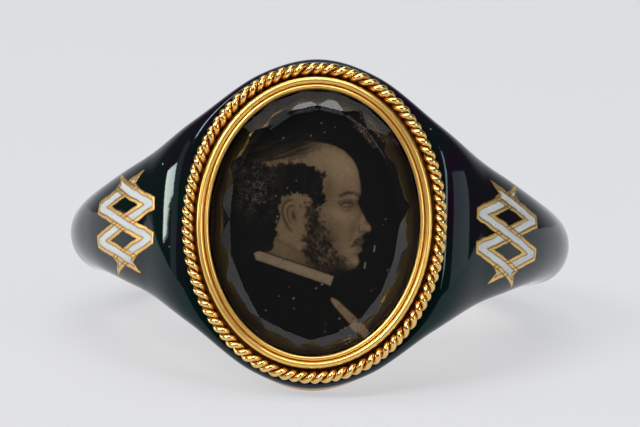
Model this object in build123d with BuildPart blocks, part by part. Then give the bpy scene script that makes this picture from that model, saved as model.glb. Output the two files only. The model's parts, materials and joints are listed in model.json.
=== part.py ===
# A gold mourning ring. Black enamel covers the front of the hoop, with a white enamel plait inlaid
# in each shoulder. The head carries a portrait under a faceted crystal, held by a reeded gold frame
# with a twisted-wire border. The parts are drawn with the finger along Z and the bezel towards -Y,
# then leaned into the way the ring rests.
import math
import os
from collections import namedtuple

from build123d import *

# Driving sizes, in millimetres and degrees
bore_radius = 8.5
bore_stock = 0.2
enamel_depth = 0.30
enamel_end = 128
fit_gap = 0.015
gold_lip = 0.03
gold_lip_height = 0.16
gold_root = 0.06
seat_height = 11.05
lean = 16.3

# Half of the ring's form, from the middle of the head (0) to the middle of the back (180). Heights
# are distances from the finger's axis. The fullness is the power of the rounded top: 2 is an ellipse
# and 6 is nearly a box.
Section = namedtuple("Section", "angle crown ledge half_width foot fullness")
ring_form = [
    Section(0, 11.45, 9.90, 6.74, 5.75, 6.0),
    Section(13, 11.75, 10.00, 6.06, 5.15, 5.4),
    Section(26, 12.25, 10.20, 4.30, 3.70, 4.0),
    Section(39, 11.40, 9.95, 3.05, 2.72, 3.0),
    Section(52, 10.82, 9.55, 2.38, 2.16, 2.5),
    Section(65, 10.58, 9.20, 1.92, 1.78, 2.2),
    Section(78, 10.50, 8.95, 1.70, 1.58, 2.0),
    Section(91, 10.50, 8.90, 1.62, 1.52, 2.0),
    Section(110, 10.38, 8.88, 1.54, 1.44, 2.0),
    Section(128, 10.22, 8.85, 1.44, 1.34, 2.0),
    Section(154, 10.00, 8.82, 1.28, 1.18, 2.0),
    Section(180, 9.92, 8.80, 1.22, 1.12, 2.0),
]
front_rows = [row for row in ring_form if row.angle <= enamel_end]
back_rows = [row for row in ring_form if row.angle >= enamel_end]
shoulder_rows = [row for row in ring_form if 13 <= row.angle <= 91]

# The setting. The oval sizes are half-widths, across the finger and along it.
aperture = (4.29, 5.44)
pocket = (4.43, 5.56)
pocket_floor = 9.95
portrait_thickness = 0.20
frame_width = 0.56
enamel_opening = 0.60
frame_base = seat_height - enamel_depth + fit_gap

# The wire border: two strands twisted into a left-handed rope, seen as a row of lobes.
rope_offset = 0.84
rope_radius = 0.255
rope_waist = 0.112
rope_height = 11.33
rope_lobes = 86
steps_per_lobe = 3

# The crystal
crystal_back = pocket_floor + fit_gap + portrait_thickness + fit_gap
girdle = (4.37, 5.50)
girdle_top = 11.15
bevel = (3.93, 5.165)
bevel_height = 11.53
table = (3.45, 4.74)
table_height = 11.94
table_sides = 20

# The plait on each shoulder, drawn flat: s runs away from the head and z along the finger.
plait_angle = 61
plait_centre = (7.95, -7.72)
plait_reach = 2.15
plait_rise = 0.70
plait_tail = 1.10
fold_margin = 0.30
strand_half = 0.332
white_half = 0.185
white_fold = 0.16
notch_depth = 0.34
prong = 0.22
tail_margin = 1.2  # gold left beyond the white at a strand's end, as a share of the gold line beside it
white_depth = 0.20
shoulder_reach = 2.0


def radial_plane(angle):
    """The plane through the finger's axis at an angle from the middle of the head, towards +X."""
    a = math.radians(angle)
    return Plane((0, 0, 0), x_dir=(math.sin(a), -math.cos(a), 0), z_dir=(-math.cos(a), -math.sin(a), 0))


def rounded(row, inset, sweep):
    """A point of the rounded top: sweep 0 is the crown and 90 the ledge."""
    power = 2 / row.fullness
    rise = row.crown - inset - row.ledge
    side = row.half_width - inset
    a = math.radians(sweep)
    return row.ledge + rise * max(math.cos(a), 0) ** power, side * math.sin(a) ** power


def below(point):
    return point[0], -point[1]


def round_top(row, inset):
    """Three arcs over the top, from the ledge below to the ledge above."""
    corner, middle, edge = (rounded(row, inset, sweep) for sweep in (45, 68, 90))
    ThreePointArc(below(edge), below(middle), below(corner))
    ThreePointArc(below(corner), rounded(row, inset, 0), corner)
    ThreePointArc(corner, middle, edge)
    return edge


def core_outline(row, inset, lip):
    """The hoop's own section: bore, side walls, a lip at the ledge, and the top that carries the enamel."""
    edge = round_top(row, inset)
    lip_top = (row.ledge, row.half_width + lip)
    lip_foot = (row.ledge - gold_lip_height, row.half_width + lip)
    foot = (bore_radius - bore_stock, row.foot)
    Polyline(edge, lip_top, lip_foot, foot, below(foot), below(lip_foot), below(lip_top), below(edge))


def plain_outline(row):
    """The section of the plain back of the hoop."""
    edge = round_top(row, 0)
    foot = (bore_radius - bore_stock, row.foot)
    Polyline(edge, foot, below(foot), below(edge))


def skin_outline(row, inner, outer):
    """The section of a skin on the rounded top, between two insets, standing on the ledge."""
    base = row.ledge + fit_gap
    lifted = row._replace(ledge=base)
    out = round_top(lifted, outer)
    into = round_top(lifted, inner)
    Line(out, into)
    Line(below(out), below(into))


def two_sided(rows):
    """The rows as (angle, row) from one side of the ring, through the first row, to the other side."""
    return [(-row.angle, row) for row in reversed(rows[1:])] + [(row.angle, row) for row in rows]


def loft_sections(stations, outline, *sizes):
    """A loft through the same outline at several angles."""
    with BuildPart() as body:
        for angle, row in stations:
            with BuildSketch(radial_plane(angle)):
                with BuildLine():
                    outline(row, *sizes)
                make_face()
        loft()
    return body.part


def oval_column(half_sizes, low, high):
    """An oval column that stands on the head, between two heights."""
    with BuildPart() as column:
        with BuildSketch(Plane((0, -low, 0), x_dir=(1, 0, 0), z_dir=(0, -1, 0))):
            Ellipse(half_sizes[0], half_sizes[1])
        extrude(amount=high - low)
    return column.part


def over(height):
    """A block over the head, whose underside is at a height."""
    across, deep, along = 14, 10, 16
    with BuildPart() as block:
        with Locations((0, -height - deep / 2, 0)):
            Box(across, deep, along)
    return block.part


# The plait's outlines. Each strand is a zigzag of three straight runs, folded at the sides.
slope = plait_rise / plait_reach
fold_line = plait_reach + fold_margin


def strand_points(half, fold):
    """One strand's outline, from its tail at the top to its tail at the bottom and back."""
    tall = half * math.hypot(1, slope)
    top = 2 * plait_rise
    inner = (plait_rise - tall) / slope
    share = half / strand_half
    notch = plait_tail - notch_depth - tail_margin * (strand_half - half)
    corner = notch + notch_depth * share
    point = notch + (notch_depth + prong) * share

    def first(s, side):
        return s, top - slope * s + side * tall

    def second(s, side):
        return s, slope * s + side * tall

    def third(s, side):
        return s, -top - slope * s + side * tall

    return [
        first(-corner, 1),
        first(fold, 1),
        second(fold, -1),
        (-inner, -plait_rise),
        third(corner, 1),
        third(notch, 0),
        third(point, -1),
        third(-fold, -1),
        second(-fold, 1),
        (inner, plait_rise),
        first(-corner, -1),
        first(-notch, 0),
        first(-point, 1),
    ]


def mirrored(points):
    return [(-s, z) for s, z in points]


def crossing(run_height):
    """The stretch of the strand on top at a crossing, which runs down away from the head."""
    tall = strand_half * math.hypot(1, slope)
    reach = 1.4 * tall / slope
    rise = -slope * reach
    return [
        (-reach, run_height - rise - tall),
        (reach, run_height + rise - tall),
        (reach, run_height + rise + tall),
        (-reach, run_height - rise + tall),
    ]


def shoulder_plane(side):
    """The flat plane of a plait, inside the shoulder, looking out of it."""
    a = math.radians(plait_angle)
    x, y = plait_centre
    along = (side * math.cos(a), math.sin(a), 0)
    outwards = (side * math.sin(a), -math.cos(a), 0)
    origin = Vector(side * x, y, 0) - Vector(outwards) * shoulder_reach
    return Plane(origin, x_dir=along, z_dir=outwards)


def column_of(points_lists, side, grow):
    """A column through the shoulder, over the union of some outlines."""
    with BuildPart() as column:
        with BuildSketch(shoulder_plane(side)) as outline:
            for points in points_lists:
                with BuildLine():
                    Polyline(*points, close=True)
                make_face()
            if grow:
                offset(amount=grow, kind=Kind.INTERSECTION)
        extrude(amount=2 * shoulder_reach)
    return column.part


def white_columns(side, grow):
    """One column for each run of white enamel between two crossings, from the top down."""
    strand = strand_points(white_half, fold_line - white_fold)
    strands = [
        (strand, [crossing(0)]),
        (mirrored(strand), [crossing(2 * plait_rise), crossing(-2 * plait_rise)]),
    ]
    columns = []
    for points, covers in strands:
        with BuildPart() as runs:
            with BuildSketch(shoulder_plane(side)):
                with BuildLine():
                    Polyline(*points, close=True)
                make_face()
                for cover in covers:
                    with BuildLine():
                        Polyline(*cover, close=True)
                    make_face(mode=Mode.SUBTRACT)
                if grow:
                    offset(amount=grow, kind=Kind.INTERSECTION)
            extrude(amount=2 * shoulder_reach)
        columns += runs.part.solids()
    return sorted(columns, key=lambda solid: (-round(solid.center().Z, 2), solid.center().X))


def oval_ring(offset_out, t):
    """A point on the oval that runs a distance outside the aperture."""
    a, b = aperture
    out = Vector(math.cos(t) / a, 0, math.sin(t) / b).normalized()
    return Vector(a * math.cos(t), 0, b * math.sin(t)) + out * offset_out


def even_angles(count):
    """Parameters that step evenly along the rope's centre line."""
    fine = 7200
    lengths = [0.0]
    last = oval_ring(rope_offset, 0)
    for i in range(1, fine + 1):
        here = oval_ring(rope_offset, 2 * math.pi * i / fine)
        lengths.append(lengths[-1] + (here - last).length)
        last = here
    angles = []
    at = 0
    for k in range(count):
        goal = lengths[-1] * k / count
        while lengths[at + 1] < goal:
            at += 1
        share = (goal - lengths[at]) / (lengths[at + 1] - lengths[at])
        angles.append(2 * math.pi * (at + share) / fine)
    return angles


def frame_profile(twist):
    """The frame's section as (distance outwards, height): lip, two reeds, and the rope at this twist."""
    reeds = [
        (0.12, frame_base),
        (0.12, 11.25),
        (0.00, 11.33),
        (0.00, 11.54),
        (0.13, 11.72),
        (0.23, 11.61),
        (0.38, 11.78),
        (0.54, 11.60),
        (frame_width, 11.22),
    ]
    rope = []
    for angle in (140, 85, 30, -25):
        lobed = (rope_radius + rope_waist) / 2
        lobed += (rope_radius - rope_waist) / 2 * math.cos(2 * math.radians(angle) - twist)
        a = math.radians(angle)
        rope.append((rope_offset + lobed * math.cos(a), rope_height + lobed * math.sin(a)))
    under = [(frame_width, seat_height + fit_gap), (frame_width, frame_base)]
    return reeds + rope + under


def faceted(rings, caps=()):
    """A solid with flat triangles between rings of points, closed on itself or by two caps."""
    faces = [Face(Wire.make_polygon(cap)) for cap in caps]
    count = len(rings[0])
    pairs = list(zip(rings, rings[1:])) + ([] if caps else [(rings[-1], rings[0])])
    for here, there in pairs:
        for j in range(count):
            a, b = here[j], here[(j + 1) % count]
            c, d = there[(j + 1) % count], there[j]
            faces.append(Face(Wire.make_polygon([a, b, c])))
            faces.append(Face(Wire.make_polygon([a, c, d])))
    return Solid(Shell(faces))


def oval_polygon(half_sizes, height, turn):
    """The crystal's outline at one height, with its corners turned by a share of a side."""
    corners = []
    for k in range(table_sides):
        a = 2 * math.pi * (k + turn) / table_sides
        corners.append(Vector(half_sizes[0] * math.cos(a), -height, half_sizes[1] * math.sin(a)))
    return corners


# The hoop: core, plain back, and the gold of the plaits
core = loft_sections(two_sided(front_rows), core_outline, enamel_depth, gold_lip)
back_stations = [(row.angle, row) for row in back_rows]
back_stations += [(360 - row.angle, row) for row in reversed(back_rows[:-1])]
plain_back = loft_sections(back_stations, plain_outline)
shoulder_stations = [(row.angle, row) for row in shoulder_rows]
mirror_stations = [(-row.angle, row) for row in reversed(shoulder_rows)]
sides = {"left": (-1, mirror_stations), "right": (1, shoulder_stations)}
gold_strand = strand_points(strand_half, fold_line)
plait_outline = [gold_strand, mirrored(gold_strand)]

with BuildPart() as hoop:
    add(core)
    add(over(seat_height - enamel_depth), mode=Mode.SUBTRACT)
    add(oval_column(pocket, pocket_floor, seat_height + 1), mode=Mode.SUBTRACT)
    add(plain_back)
    for side, stations in sides.values():
        gold_layer = loft_sections(stations, skin_outline, enamel_depth + gold_root, 0)
        add(column_of(plait_outline, side, 0) & gold_layer)
        cells = loft_sections(stations, skin_outline, white_depth + fit_gap, -enamel_depth)
        for column in white_columns(side, fit_gap):
            add(column & cells, mode=Mode.SUBTRACT)
    Cylinder(bore_radius, 3 * ring_form[0].half_width, mode=Mode.SUBTRACT)

opening = (aperture[0] + enamel_opening, aperture[1] + enamel_opening)
with BuildPart() as black_enamel:
    add(loft_sections(two_sided(front_rows), skin_outline, enamel_depth - fit_gap, 0))
    add(over(seat_height), mode=Mode.SUBTRACT)
    add(oval_column(opening, pocket_floor, seat_height + 1), mode=Mode.SUBTRACT)
    for side, stations in sides.values():
        add(column_of(plait_outline, side, fit_gap), mode=Mode.SUBTRACT)

# The openings of each plait leave two lozenges of black enamel, apart from the field around them.
field, *lozenges = black_enamel.part.solids().sort_by(SortBy.VOLUME, reverse=True)
enamel_pieces = {"black_enamel": Part([field])}
for name, (side, stations) in sides.items():
    own = [solid for solid in lozenges if solid.center().X * side > 0]
    for place, solid in zip(("lower", "upper"), sorted(own, key=lambda solid: solid.center().Z)):
        enamel_pieces[f"black_lozenge_{name}_{place}"] = Part([solid])

white_pieces = {}
for name, (side, stations) in sides.items():
    layer = loft_sections(stations, skin_outline, white_depth, 0)
    for number, column in enumerate(white_columns(side, 0), 1):
        with BuildPart() as white:
            add(column & layer)
        white_pieces[f"white_enamel_{name}_{number}"] = white.part

# The setting: portrait, crystal, and the frame with its rope
with BuildPart() as portrait:
    add(oval_column(girdle, pocket_floor + fit_gap, pocket_floor + fit_gap + portrait_thickness))

crystal_rings = [
    oval_polygon(girdle, crystal_back, 0.5),
    oval_polygon(girdle, girdle_top, 0.5),
    oval_polygon(bevel, bevel_height, 0.5),
    oval_polygon(table, table_height, 0),
]
with BuildPart() as crystal:
    add(faceted(crystal_rings, caps=(crystal_rings[0], crystal_rings[-1])))

frame_rings = []
for step, t in enumerate(even_angles(rope_lobes * steps_per_lobe)):
    profile = frame_profile(2 * math.pi * step / steps_per_lobe)
    frame_rings.append([oval_ring(out, t) - Vector(0, height, 0) for out, height in profile])
with BuildPart() as bezel_frame:
    add(faceted(frame_rings))

pieces = {
    "hoop": hoop.part,
    **enamel_pieces,
    **white_pieces,
    "portrait": portrait.part,
    "crystal": crystal.part,
    "bezel_frame": bezel_frame.part,
}

# At rest the ring lies on its side, on the lower edge of the head and the lower edge of the back.
rested = {label: piece.rotate(Axis.X, -lean) for label, piece in pieces.items()}
boxes = [piece.bounding_box() for piece in rested.values()]
floor = min(box.min.Z for box in boxes)
middle_x = (min(box.min.X for box in boxes) + max(box.max.X for box in boxes)) / 2
middle_y = (min(box.min.Y for box in boxes) + max(box.max.Y for box in boxes)) / 2
os.makedirs("parts", exist_ok=True)
for label, piece in rested.items():
    placed = piece.translate((-middle_x, -middle_y, -floor))
    placed.label = label
    export_step(placed, f"parts/{label}.step")
print("finger axis passes", round(-middle_x, 4), round(-middle_y, 4), round(-floor, 4))
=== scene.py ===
import json
import math

import bmesh
import bpy
import numpy as np
from mathutils import Matrix, Quaternion, Vector, noise
from mathutils.geometry import delaunay_2d_cdt


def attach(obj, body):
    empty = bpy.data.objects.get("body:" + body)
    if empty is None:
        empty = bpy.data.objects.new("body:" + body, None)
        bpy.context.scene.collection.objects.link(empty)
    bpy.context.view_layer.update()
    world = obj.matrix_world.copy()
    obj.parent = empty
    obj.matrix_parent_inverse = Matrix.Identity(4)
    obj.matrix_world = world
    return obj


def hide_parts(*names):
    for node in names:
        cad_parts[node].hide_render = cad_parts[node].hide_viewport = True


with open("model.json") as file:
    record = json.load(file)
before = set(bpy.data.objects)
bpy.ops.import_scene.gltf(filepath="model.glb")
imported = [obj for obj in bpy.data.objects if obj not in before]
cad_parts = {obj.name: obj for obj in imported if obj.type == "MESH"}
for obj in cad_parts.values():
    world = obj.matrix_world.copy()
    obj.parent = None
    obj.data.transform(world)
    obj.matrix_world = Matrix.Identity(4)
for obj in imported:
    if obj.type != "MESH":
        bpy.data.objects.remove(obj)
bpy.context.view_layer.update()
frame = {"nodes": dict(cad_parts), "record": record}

# The ring is drawn in millimetres, with the finger along Z and the bezel towards -Y.
# The finger mount of the frame says how it lies.
finger = next(m for m in frame["record"]["mounts"] if m["name"] == "finger")
fingerPoint = np.array(finger["pos_m"])
fingerAxis = np.array(finger["axis"])
boreRadius = finger["dims"]["r_mm"]
ringAxes = np.array([(1, 0, 0), np.cross(fingerAxis, (1, 0, 0)), fingerAxis])
mm = 0.001


def toFrame(points):
    return fingerPoint + np.asarray(points, float) @ ringAxes * mm


# Meshes

def gridFaces(rows, columns, closeRows=False, closeColumns=False):
    r = np.arange(rows if closeRows else rows - 1)
    c = np.arange(columns if closeColumns else columns - 1)
    r, c = np.meshgrid(r, c, indexing="ij")
    here, below = r * columns, (r + 1) % rows * columns
    after = (c + 1) % columns
    return np.stack([here + c, below + c, below + after, here + after], -1).reshape(-1, 4).tolist()


def addObject(name, data):
    obj = bpy.data.objects.new(name, data)
    bpy.context.scene.collection.objects.link(obj)
    return obj


def addMesh(name, points, faces, marks={}, smooth=True):
    mesh = bpy.data.meshes.new(name)
    mesh.from_pydata(toFrame(points).tolist(), [], faces)
    for mark, values in marks.items():
        layer = mesh.attributes.new(mark, "FLOAT", "POINT")
        layer.data.foreach_set("value", np.asarray(values, np.float32).ravel())
    mesh.polygons.foreach_set("use_smooth", [smooth] * len(mesh.polygons))
    outwards = bmesh.new()
    outwards.from_mesh(mesh)
    bmesh.ops.recalc_face_normals(outwards, faces=outwards.faces)
    outwards.to_mesh(mesh)
    outwards.free()
    return addObject(name, mesh)


def keepSharp(obj, degrees):
    obj.data.set_sharp_from_angle(angle=math.radians(degrees))


def finishPiece(obj, material, slot, *nodes):
    obj.data.materials.clear()
    obj.data.materials.append(material)
    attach(obj, "root")
    if nodes:
        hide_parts(*nodes)


def cutAway(obj, cutter):
    cut = obj.modifiers.new("cut", "BOOLEAN")
    cut.operation = "DIFFERENCE"
    cut.solver = "EXACT"
    cut.object = cutter
    bpy.context.view_layer.update()
    result = bpy.data.meshes.new_from_object(obj.evaluated_get(bpy.context.evaluated_depsgraph_get()))
    obj.modifiers.clear()
    obj.data = result
    bpy.data.objects.remove(cutter)


def clamp(values):
    return np.clip(values, 0, 1)


def ripple(points, size, seed):
    # smooth noise, one value for each point, whose bumps are about this size
    shift = Vector((seed * 7.3, seed * 3.1, seed * 5.7))
    return np.array([noise.noise(Vector(p) / size + shift) for p in points])


# The ring's form

ringForm = np.array([  # angle from the head's middle, crown, ledge, half width, foot, fullness
    (0, 11.45, 9.90, 6.74, 5.75, 6.0),
    (13, 11.75, 10.00, 6.06, 5.15, 5.4),
    (26, 12.25, 10.20, 4.30, 3.70, 4.0),
    (39, 11.40, 9.95, 3.05, 2.72, 3.0),
    (52, 10.82, 9.55, 2.38, 2.16, 2.5),
    (65, 10.58, 9.20, 1.92, 1.78, 2.2),
    (78, 10.50, 8.95, 1.70, 1.58, 2.0),
    (91, 10.50, 8.90, 1.62, 1.52, 2.0),
    (110, 10.38, 8.88, 1.54, 1.44, 2.0),
    (128, 10.22, 8.85, 1.44, 1.34, 2.0),
    (154, 10.00, 8.82, 1.28, 1.18, 2.0),
    (180, 9.92, 8.80, 1.22, 1.12, 2.0),
])
enamelEnd = 128  # degrees from the head's middle
enamelDepth = 0.30
seatHeight = 11.05  # of the flat that the bezel stands on
aperture = (4.29, 5.44)  # half sizes of the bezel's oval opening


def formAt(angles):
    # the table's values at any angles, smooth, and the same on both sides
    before = ringForm[1:3][::-1] * (-1, 1, 1, 1, 1, 1)
    after = ringForm[-3:-1][::-1].copy()
    after[:, 0] = 360 - after[:, 0]
    table = np.vstack([before, ringForm, after])
    at, values = table[:, 0], table[:, 1:]
    slopes = np.gradient(values, at, axis=0)
    a = np.abs((np.asarray(angles, float) + 180) % 360 - 180)
    i = np.clip(np.searchsorted(at, a, side="right") - 1, 0, len(at) - 2)
    h = (at[i + 1] - at[i])[..., None]
    t = (a - at[i])[..., None] / h
    made = (2 * t**3 - 3 * t**2 + 1) * values[i] + (t**3 - 2 * t**2 + t) * h * slopes[i]
    made += (3 * t**2 - 2 * t**3) * values[i + 1] + (t**3 - t**2) * h * slopes[i + 1]
    return [made[..., k] for k in range(5)]


def topHeight(angles, z):
    # distance of the rounded top from the finger's axis
    crown, ledge, half, _, fullness = formAt(angles)
    side = clamp(np.abs(z) / half)
    return ledge + (crown - ledge) * (1 - side**fullness) ** (1 / fullness)


def aroundAxis(angles, r, z):
    a = np.radians(angles)
    return np.stack([r * np.sin(a), -r * np.cos(a), z], -1)


def roundTop(angles, inset, lift, sweeps):
    # rows of points over the rounded top, from one ledge to the other
    crown, ledge, half, _, fullness = [v[:, None] for v in formAt(angles)]
    a = np.radians(np.asarray(sweeps))[None, :]
    power = 2 / fullness
    r = ledge + lift + (crown - inset - ledge - lift) * np.abs(np.cos(a)) ** power
    z = (half - inset) * np.abs(np.sin(a)) ** power * np.sign(np.sin(a))
    return r, z


def ovalPoint(offsetOut, t):
    # (x, z) at a distance outside the aperture's oval
    a, b = aperture
    out = np.stack([np.cos(t) / a, np.sin(t) / b], -1)
    out /= np.linalg.norm(out, axis=-1, keepdims=True)
    return np.stack([a * np.cos(t), b * np.sin(t)], -1) + out * np.asarray(offsetOut)[..., None], out


def evenSteps(offsetOut, count):
    # parameters that step evenly along an oval
    fine = np.linspace(0, 2 * np.pi, 7201)
    line = ovalPoint(offsetOut, fine)[0]
    length = np.concatenate([[0], np.cumsum(np.linalg.norm(np.diff(line, axis=0), axis=1))])
    return np.interp(np.arange(count) * length[-1] / count, length, fine)


def ovalColumn(name, halfSizes, low, high, sides=180):
    t = np.linspace(0, 2 * np.pi, sides, endpoint=False)
    ring = np.stack([halfSizes[0] * np.cos(t), 0 * t, halfSizes[1] * np.sin(t)], -1)
    points = np.vstack([ring - (0, low, 0), ring - (0, high, 0)])
    ends = [list(range(sides))[::-1], list(range(sides, 2 * sides))]
    return addMesh(name, points, gridFaces(2, sides, closeColumns=True) + ends)


# Camera, as far from the finger's axis and from the same side as in the photograph

cameraSettings = {
    "distance": 300.0,  # mm
    "belowBezel": 3.4,  # degrees below the straight look into the bezel
    "yaw": 1.2,  # degrees towards +X
    "roll": 1.8,  # degrees
    "pixelsPerMm": 498 / 21,
    "imageSize": (640, 427),
    "seatMiddle": (314.4, 222.7),  # pixel of the point below
    "seatPoint": (0, -11.4, 0),
}


def makeCamera(settings):
    below, yaw, roll = (math.radians(settings[k]) for k in ("belowBezel", "yaw", "roll"))
    towards = Vector((math.sin(yaw) * math.cos(below), -math.cos(yaw) * math.cos(below), -math.sin(below)))
    right = Vector((math.cos(yaw), math.sin(yaw), 0))
    up = towards.cross(right)
    turned = right * math.cos(roll) + up * math.sin(roll)
    upright = up * math.cos(roll) - right * math.sin(roll)
    width, height = settings["imageSize"]
    data = bpy.data.cameras.new("photoCamera")
    data.sensor_width = 36
    data.lens = settings["pixelsPerMm"] * settings["distance"] / width * data.sensor_width
    seat = Vector(settings["seatPoint"]) - towards * settings["distance"]
    scale = settings["pixelsPerMm"] * settings["distance"] / -seat.dot(towards)
    spot = (seat.dot(turned) * scale, seat.dot(upright) * scale)
    data.shift_x = (width / 2 + spot[0] - settings["seatMiddle"][0]) / width
    data.shift_y = (settings["seatMiddle"][1] - height / 2 + spot[1]) / width
    data.clip_start, data.clip_end = 0.01, 10
    cam = addObject("photoCamera", data)
    turn = Matrix([ringAxes.T @ np.array(v) for v in (turned, upright, towards)]).transposed()
    cam.matrix_world = Matrix.Translation(toFrame(towards * settings["distance"])) @ turn.to_4x4()
    bpy.context.scene.camera = cam


makeCamera(cameraSettings)
print("camera placed")


# Stage and light

stageSettings = {
    "floorRadius": 1.5,
    "floorSides": 96,
    "cardRadius": 0.10,  # the floor that the ring mirrors; past it, it mirrors the dark room
    "floorColour": (0.15, 0.151, 0.153),
    "floorGlow": (0.530, 0.538, 0.560),  # light from under the floor, which keeps the shadow faint
    "cameraWorld": (0.74, 0.75, 0.77),
    "roomLight": 0.30,  # soft light on everything that isn't a mirror
    "softColour": (0.97, 0.98, 1),
    "darkRoom": (0.045, 0.05, 0.05),  # what gold, enamel and crystal see overhead
    "paleRoom": (0.75, 0.77, 0.8),  # and straight behind
    "paleRoomFrom": (0.6, 1),  # where it begins and is full, as the +Y part of a direction
    "throughCrystal": 0.2,  # share of the dark room that is left in the crystal's depth
    "lightsAim": (0, 0, 0.006),
    "lights": [  # name, place, size across and up in metres, roll in degrees, power in watts, colour
        ("softboxTop", (-0.01, 0.08, 0.36), (0.30, 0.16), 0, 0.50, (1, 1, 1)),
        ("softboxLeft", (-0.338, 0.032, 0.042), (0.100, 0.048), 24, 0.235, (1, 0.88, 0.78)),
        ("cardLeft", (-0.356, -0.053, 0.075), (0.08, 0.22), 0, 0.024, (1, 1, 1)),
        ("cardRight", (0.360, -0.005, 0.030), (0.19, 0.12), -12, 0.060, (1, 1, 1)),
        ("softboxKey", (-0.17, -0.22, 0.24), (0.16, 0.12), 0, 0.92, (1, 0.98, 0.94)),
        ("softboxOver", (0.03, -0.17, 0.32), (0.20, 0.08), 0, 0.42, (1, 0.98, 0.94)),
        ("fillRight", (0.24, -0.24, 0.13), (0.12, 0.12), 0, 0.26, (1, 0.98, 0.94)),
    ],
    "seenThroughCrystal": ("cardLeft", "cardRight"),
}


def nodeTree(owner):
    owner.use_nodes = True
    owner.node_tree.nodes.clear()
    return owner.node_tree


def feed(tree, node, inputs):
    # an input is a value or the output of another node
    for name, value in inputs.items():
        if isinstance(value, bpy.types.NodeSocket):
            tree.links.new(value, node.inputs[name])
        else:
            node.inputs[name].default_value = value


def addNode(tree, kind, inputs={}, **settings):
    node = tree.nodes.new(kind)
    for name, value in settings.items():
        setattr(node, name, value)
    feed(tree, node, inputs)
    return node


def mixColours(tree, factor, first, second):
    # first and second are colours or outputs
    sides = {"A": first, "B": second}
    sides = {side: (*colour, 1) if isinstance(colour, tuple) else colour for side, colour in sides.items()}
    return addNode(tree, "ShaderNodeMix", {"Factor": factor, **sides}, data_type="RGBA").outputs["Result"]


def rescale(tree, value, low=0, high=1, toLow=0, toHigh=1):
    limits = {"From Min": low, "From Max": high, "To Min": toLow, "To Max": toHigh}
    return addNode(tree, "ShaderNodeMapRange", {"Value": value, **limits}).outputs[0]


def onObject(tree, kind, inputs):
    # a texture in the object's own space
    place = addNode(tree, "ShaderNodeTexCoord").outputs["Object"]
    return addNode(tree, kind, {"Vector": place, **inputs})


def newMaterial(name, inputs):
    material = bpy.data.materials.new(name)
    tree = nodeTree(material)
    shader = addNode(tree, "ShaderNodeBsdfPrincipled", inputs)
    addNode(tree, "ShaderNodeOutputMaterial", {"Surface": shader.outputs[0]})
    return material, tree, shader


def makeWorld(settings):
    world = bpy.data.worlds.new("studio")
    bpy.context.scene.world = world
    tree = nodeTree(world)
    path = addNode(tree, "ShaderNodeLightPath").outputs
    direction = addNode(tree, "ShaderNodeTexCoord").outputs["Generated"]
    depth = addNode(tree, "ShaderNodeSeparateXYZ", {0: direction}).outputs["Y"]
    behind = rescale(tree, depth, *settings["paleRoomFrom"])
    room = mixColours(tree, behind, settings["darkRoom"], settings["paleRoom"])
    inStone = rescale(tree, path["Is Transmission Ray"], toLow=1, toHigh=settings["throughCrystal"])
    skies = (
        {"Color": room, "Strength": inStone},
        {"Color": (*settings["softColour"], 1), "Strength": settings["roomLight"]},
        {"Color": (*settings["cameraWorld"], 1)},
    )
    mirrored, soft, seen = (addNode(tree, "ShaderNodeBackground", sky).outputs[0] for sky in skies)
    lit = addNode(tree, "ShaderNodeMixShader", {0: path["Is Diffuse Ray"], 1: mirrored, 2: soft})
    whole = addNode(tree, "ShaderNodeMixShader", {0: path["Is Camera Ray"], 1: lit.outputs[0], 2: seen})
    addNode(tree, "ShaderNodeOutputWorld", {"Surface": whole.outputs[0]})


def makeLights(settings):
    for name, place, size, roll, power, colour in settings["lights"]:
        data = bpy.data.lights.new(name, "AREA")
        data.shape = "RECTANGLE"
        data.size, data.size_y = size
        data.energy = power
        data.color = colour
        lamp = addObject(name, data)
        lamp.location = place
        facing = (Vector(settings["lightsAim"]) - Vector(place)).to_track_quat("-Z", "Y")
        lamp.rotation_euler = (facing @ Quaternion((0, 0, 1), math.radians(roll))).to_euler()
        lamp.visible_transmission = name in settings["seenThroughCrystal"]


def makeFloor(settings):
    material = newMaterial("paleFloor", {
        "Base Color": (*settings["floorColour"], 1),
        "Roughness": 0.9,
        "Specular IOR Level": 0.1,
        "Emission Color": (*settings["floorGlow"], 1),
        "Emission Strength": 1.0,
    })[0]
    sides = settings["floorSides"]
    t = np.linspace(0, 2 * np.pi, sides, endpoint=False)
    ring = np.stack([np.cos(t), np.sin(t), 0 * t], -1)
    card, room = ring * settings["cardRadius"], ring * settings["floorRadius"]
    for name, points, faces in (
        ("floorCard", card, [list(range(sides))]),
        ("floorAround", np.vstack([card, room]), gridFaces(2, sides, closeColumns=True)),
    ):
        mesh = bpy.data.meshes.new(name)
        mesh.from_pydata(points.tolist(), [], faces)
        mesh.materials.append(material)
        floor = addObject(name, mesh)
        floor.visible_glossy = name == "floorCard"


makeWorld(stageSettings)
makeLights(stageSettings)
makeFloor(stageSettings)
bpy.context.scene.view_settings.view_transform = "Standard"
print("stage and lights ready")


# Shared effects

handlingSettings = {
    "scratchScale": 1500.0,
    "scratchTurn": (0.4, 0.3, 0.7),
    "scratchStretch": (1, 14, 3),
    "scratchDepth": 0.00001,  # metres
    "patchScale": 420,
    "patchDepth": 0.00006,
}


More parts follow.
